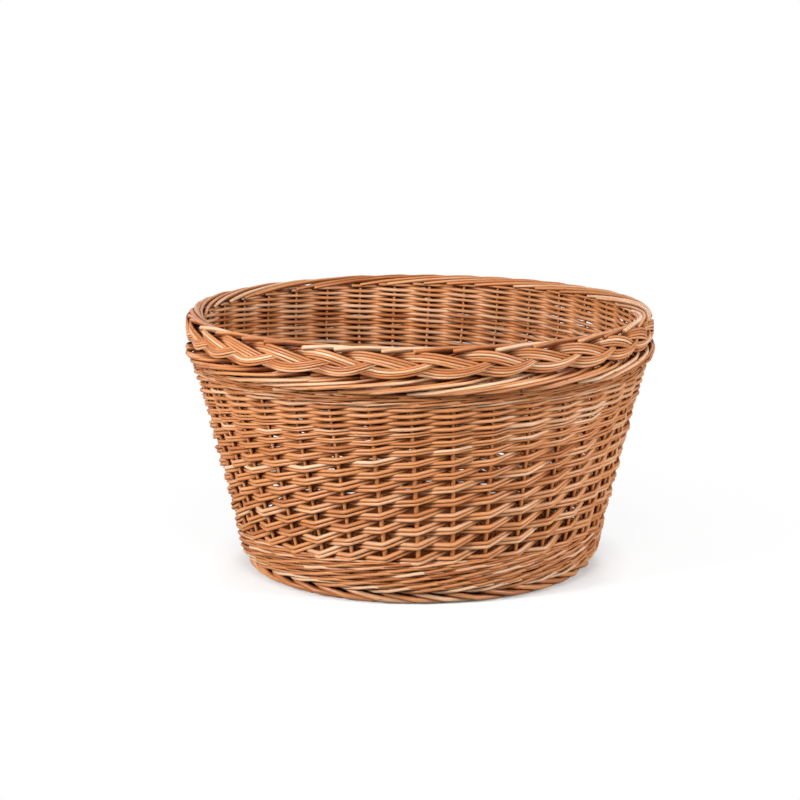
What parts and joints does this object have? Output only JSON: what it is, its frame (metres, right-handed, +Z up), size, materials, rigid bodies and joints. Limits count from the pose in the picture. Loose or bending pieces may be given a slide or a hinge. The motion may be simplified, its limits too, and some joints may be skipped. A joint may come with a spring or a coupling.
{
  "type": "wicker bread basket",
  "caption": "Round open willow basket with a flared woven wall, a rolled outer rim and a plaited top border, for bread or other loose goods.",
  "frame": {"origin": "on the ground under the middle of the base", "axes": "+Z up along the basket's axis, -Y towards the side seen in front"},
  "size_m": [0.505, 0.505, 0.2778],
  "materials": {
    "base_stick": "peeled buff willow rod, satin",
    "stake": "peeled buff willow rod, satin",
    "weave": "woven buff willow rods, satin with a soft sheen",
    "border": "rolled and plaited buff willow rods, satin with a soft sheen"
  },
  "bodies": {
    "root": {"base_stick_pierced_1": "base_stick", "base_stick_pierced_2": "base_stick", "base_stick_pierced_3": "base_stick", "base_stick_pierced_4": "base_stick", "base_stick_through_1": "base_stick", "base_stick_through_2": "base_stick", "base_stick_through_3": "base_stick", "base_stick_through_4": "base_stick", "base_stick_through_5": "base_stick", "side_stake_01": "stake", "side_stake_02": "stake", "side_stake_03": "stake", "side_stake_04": "stake", "side_stake_05": "stake", "side_stake_06": "stake", "side_stake_07": "stake", "side_stake_08": "stake", "side_stake_09": "stake", "side_stake_10": "stake", "side_stake_11": "stake", "side_stake_12": "stake", "side_stake_13": "stake", "side_stake_14": "stake", "side_stake_15": "stake", "side_stake_16": "stake", "side_stake_17": "stake", "side_stake_18": "stake", "side_stake_19": "stake", "side_stake_20": "stake", "side_stake_21": "stake", "side_stake_22": "stake", "side_stake_23": "stake", "side_stake_24": "stake", "side_stake_25": "stake", "side_stake_26": "stake", "side_stake_27": "stake", "side_stake_28": "stake", "side_stake_29": "stake", "side_stake_30": "stake", "side_stake_31": "stake", "side_stake_32": "stake", "side_stake_33": "stake", "side_stake_34": "stake", "side_stake_35": "stake", "side_stake_36": "stake", "slath_binding": "weave", "base_weave": "weave", "upsett_wale": "weave", "wall_weave": "weave", "collar_weave": "weave", "foot_border": "border", "lower_rim": "border", "plaited_border": "border"}
  },
  "joints": []
}
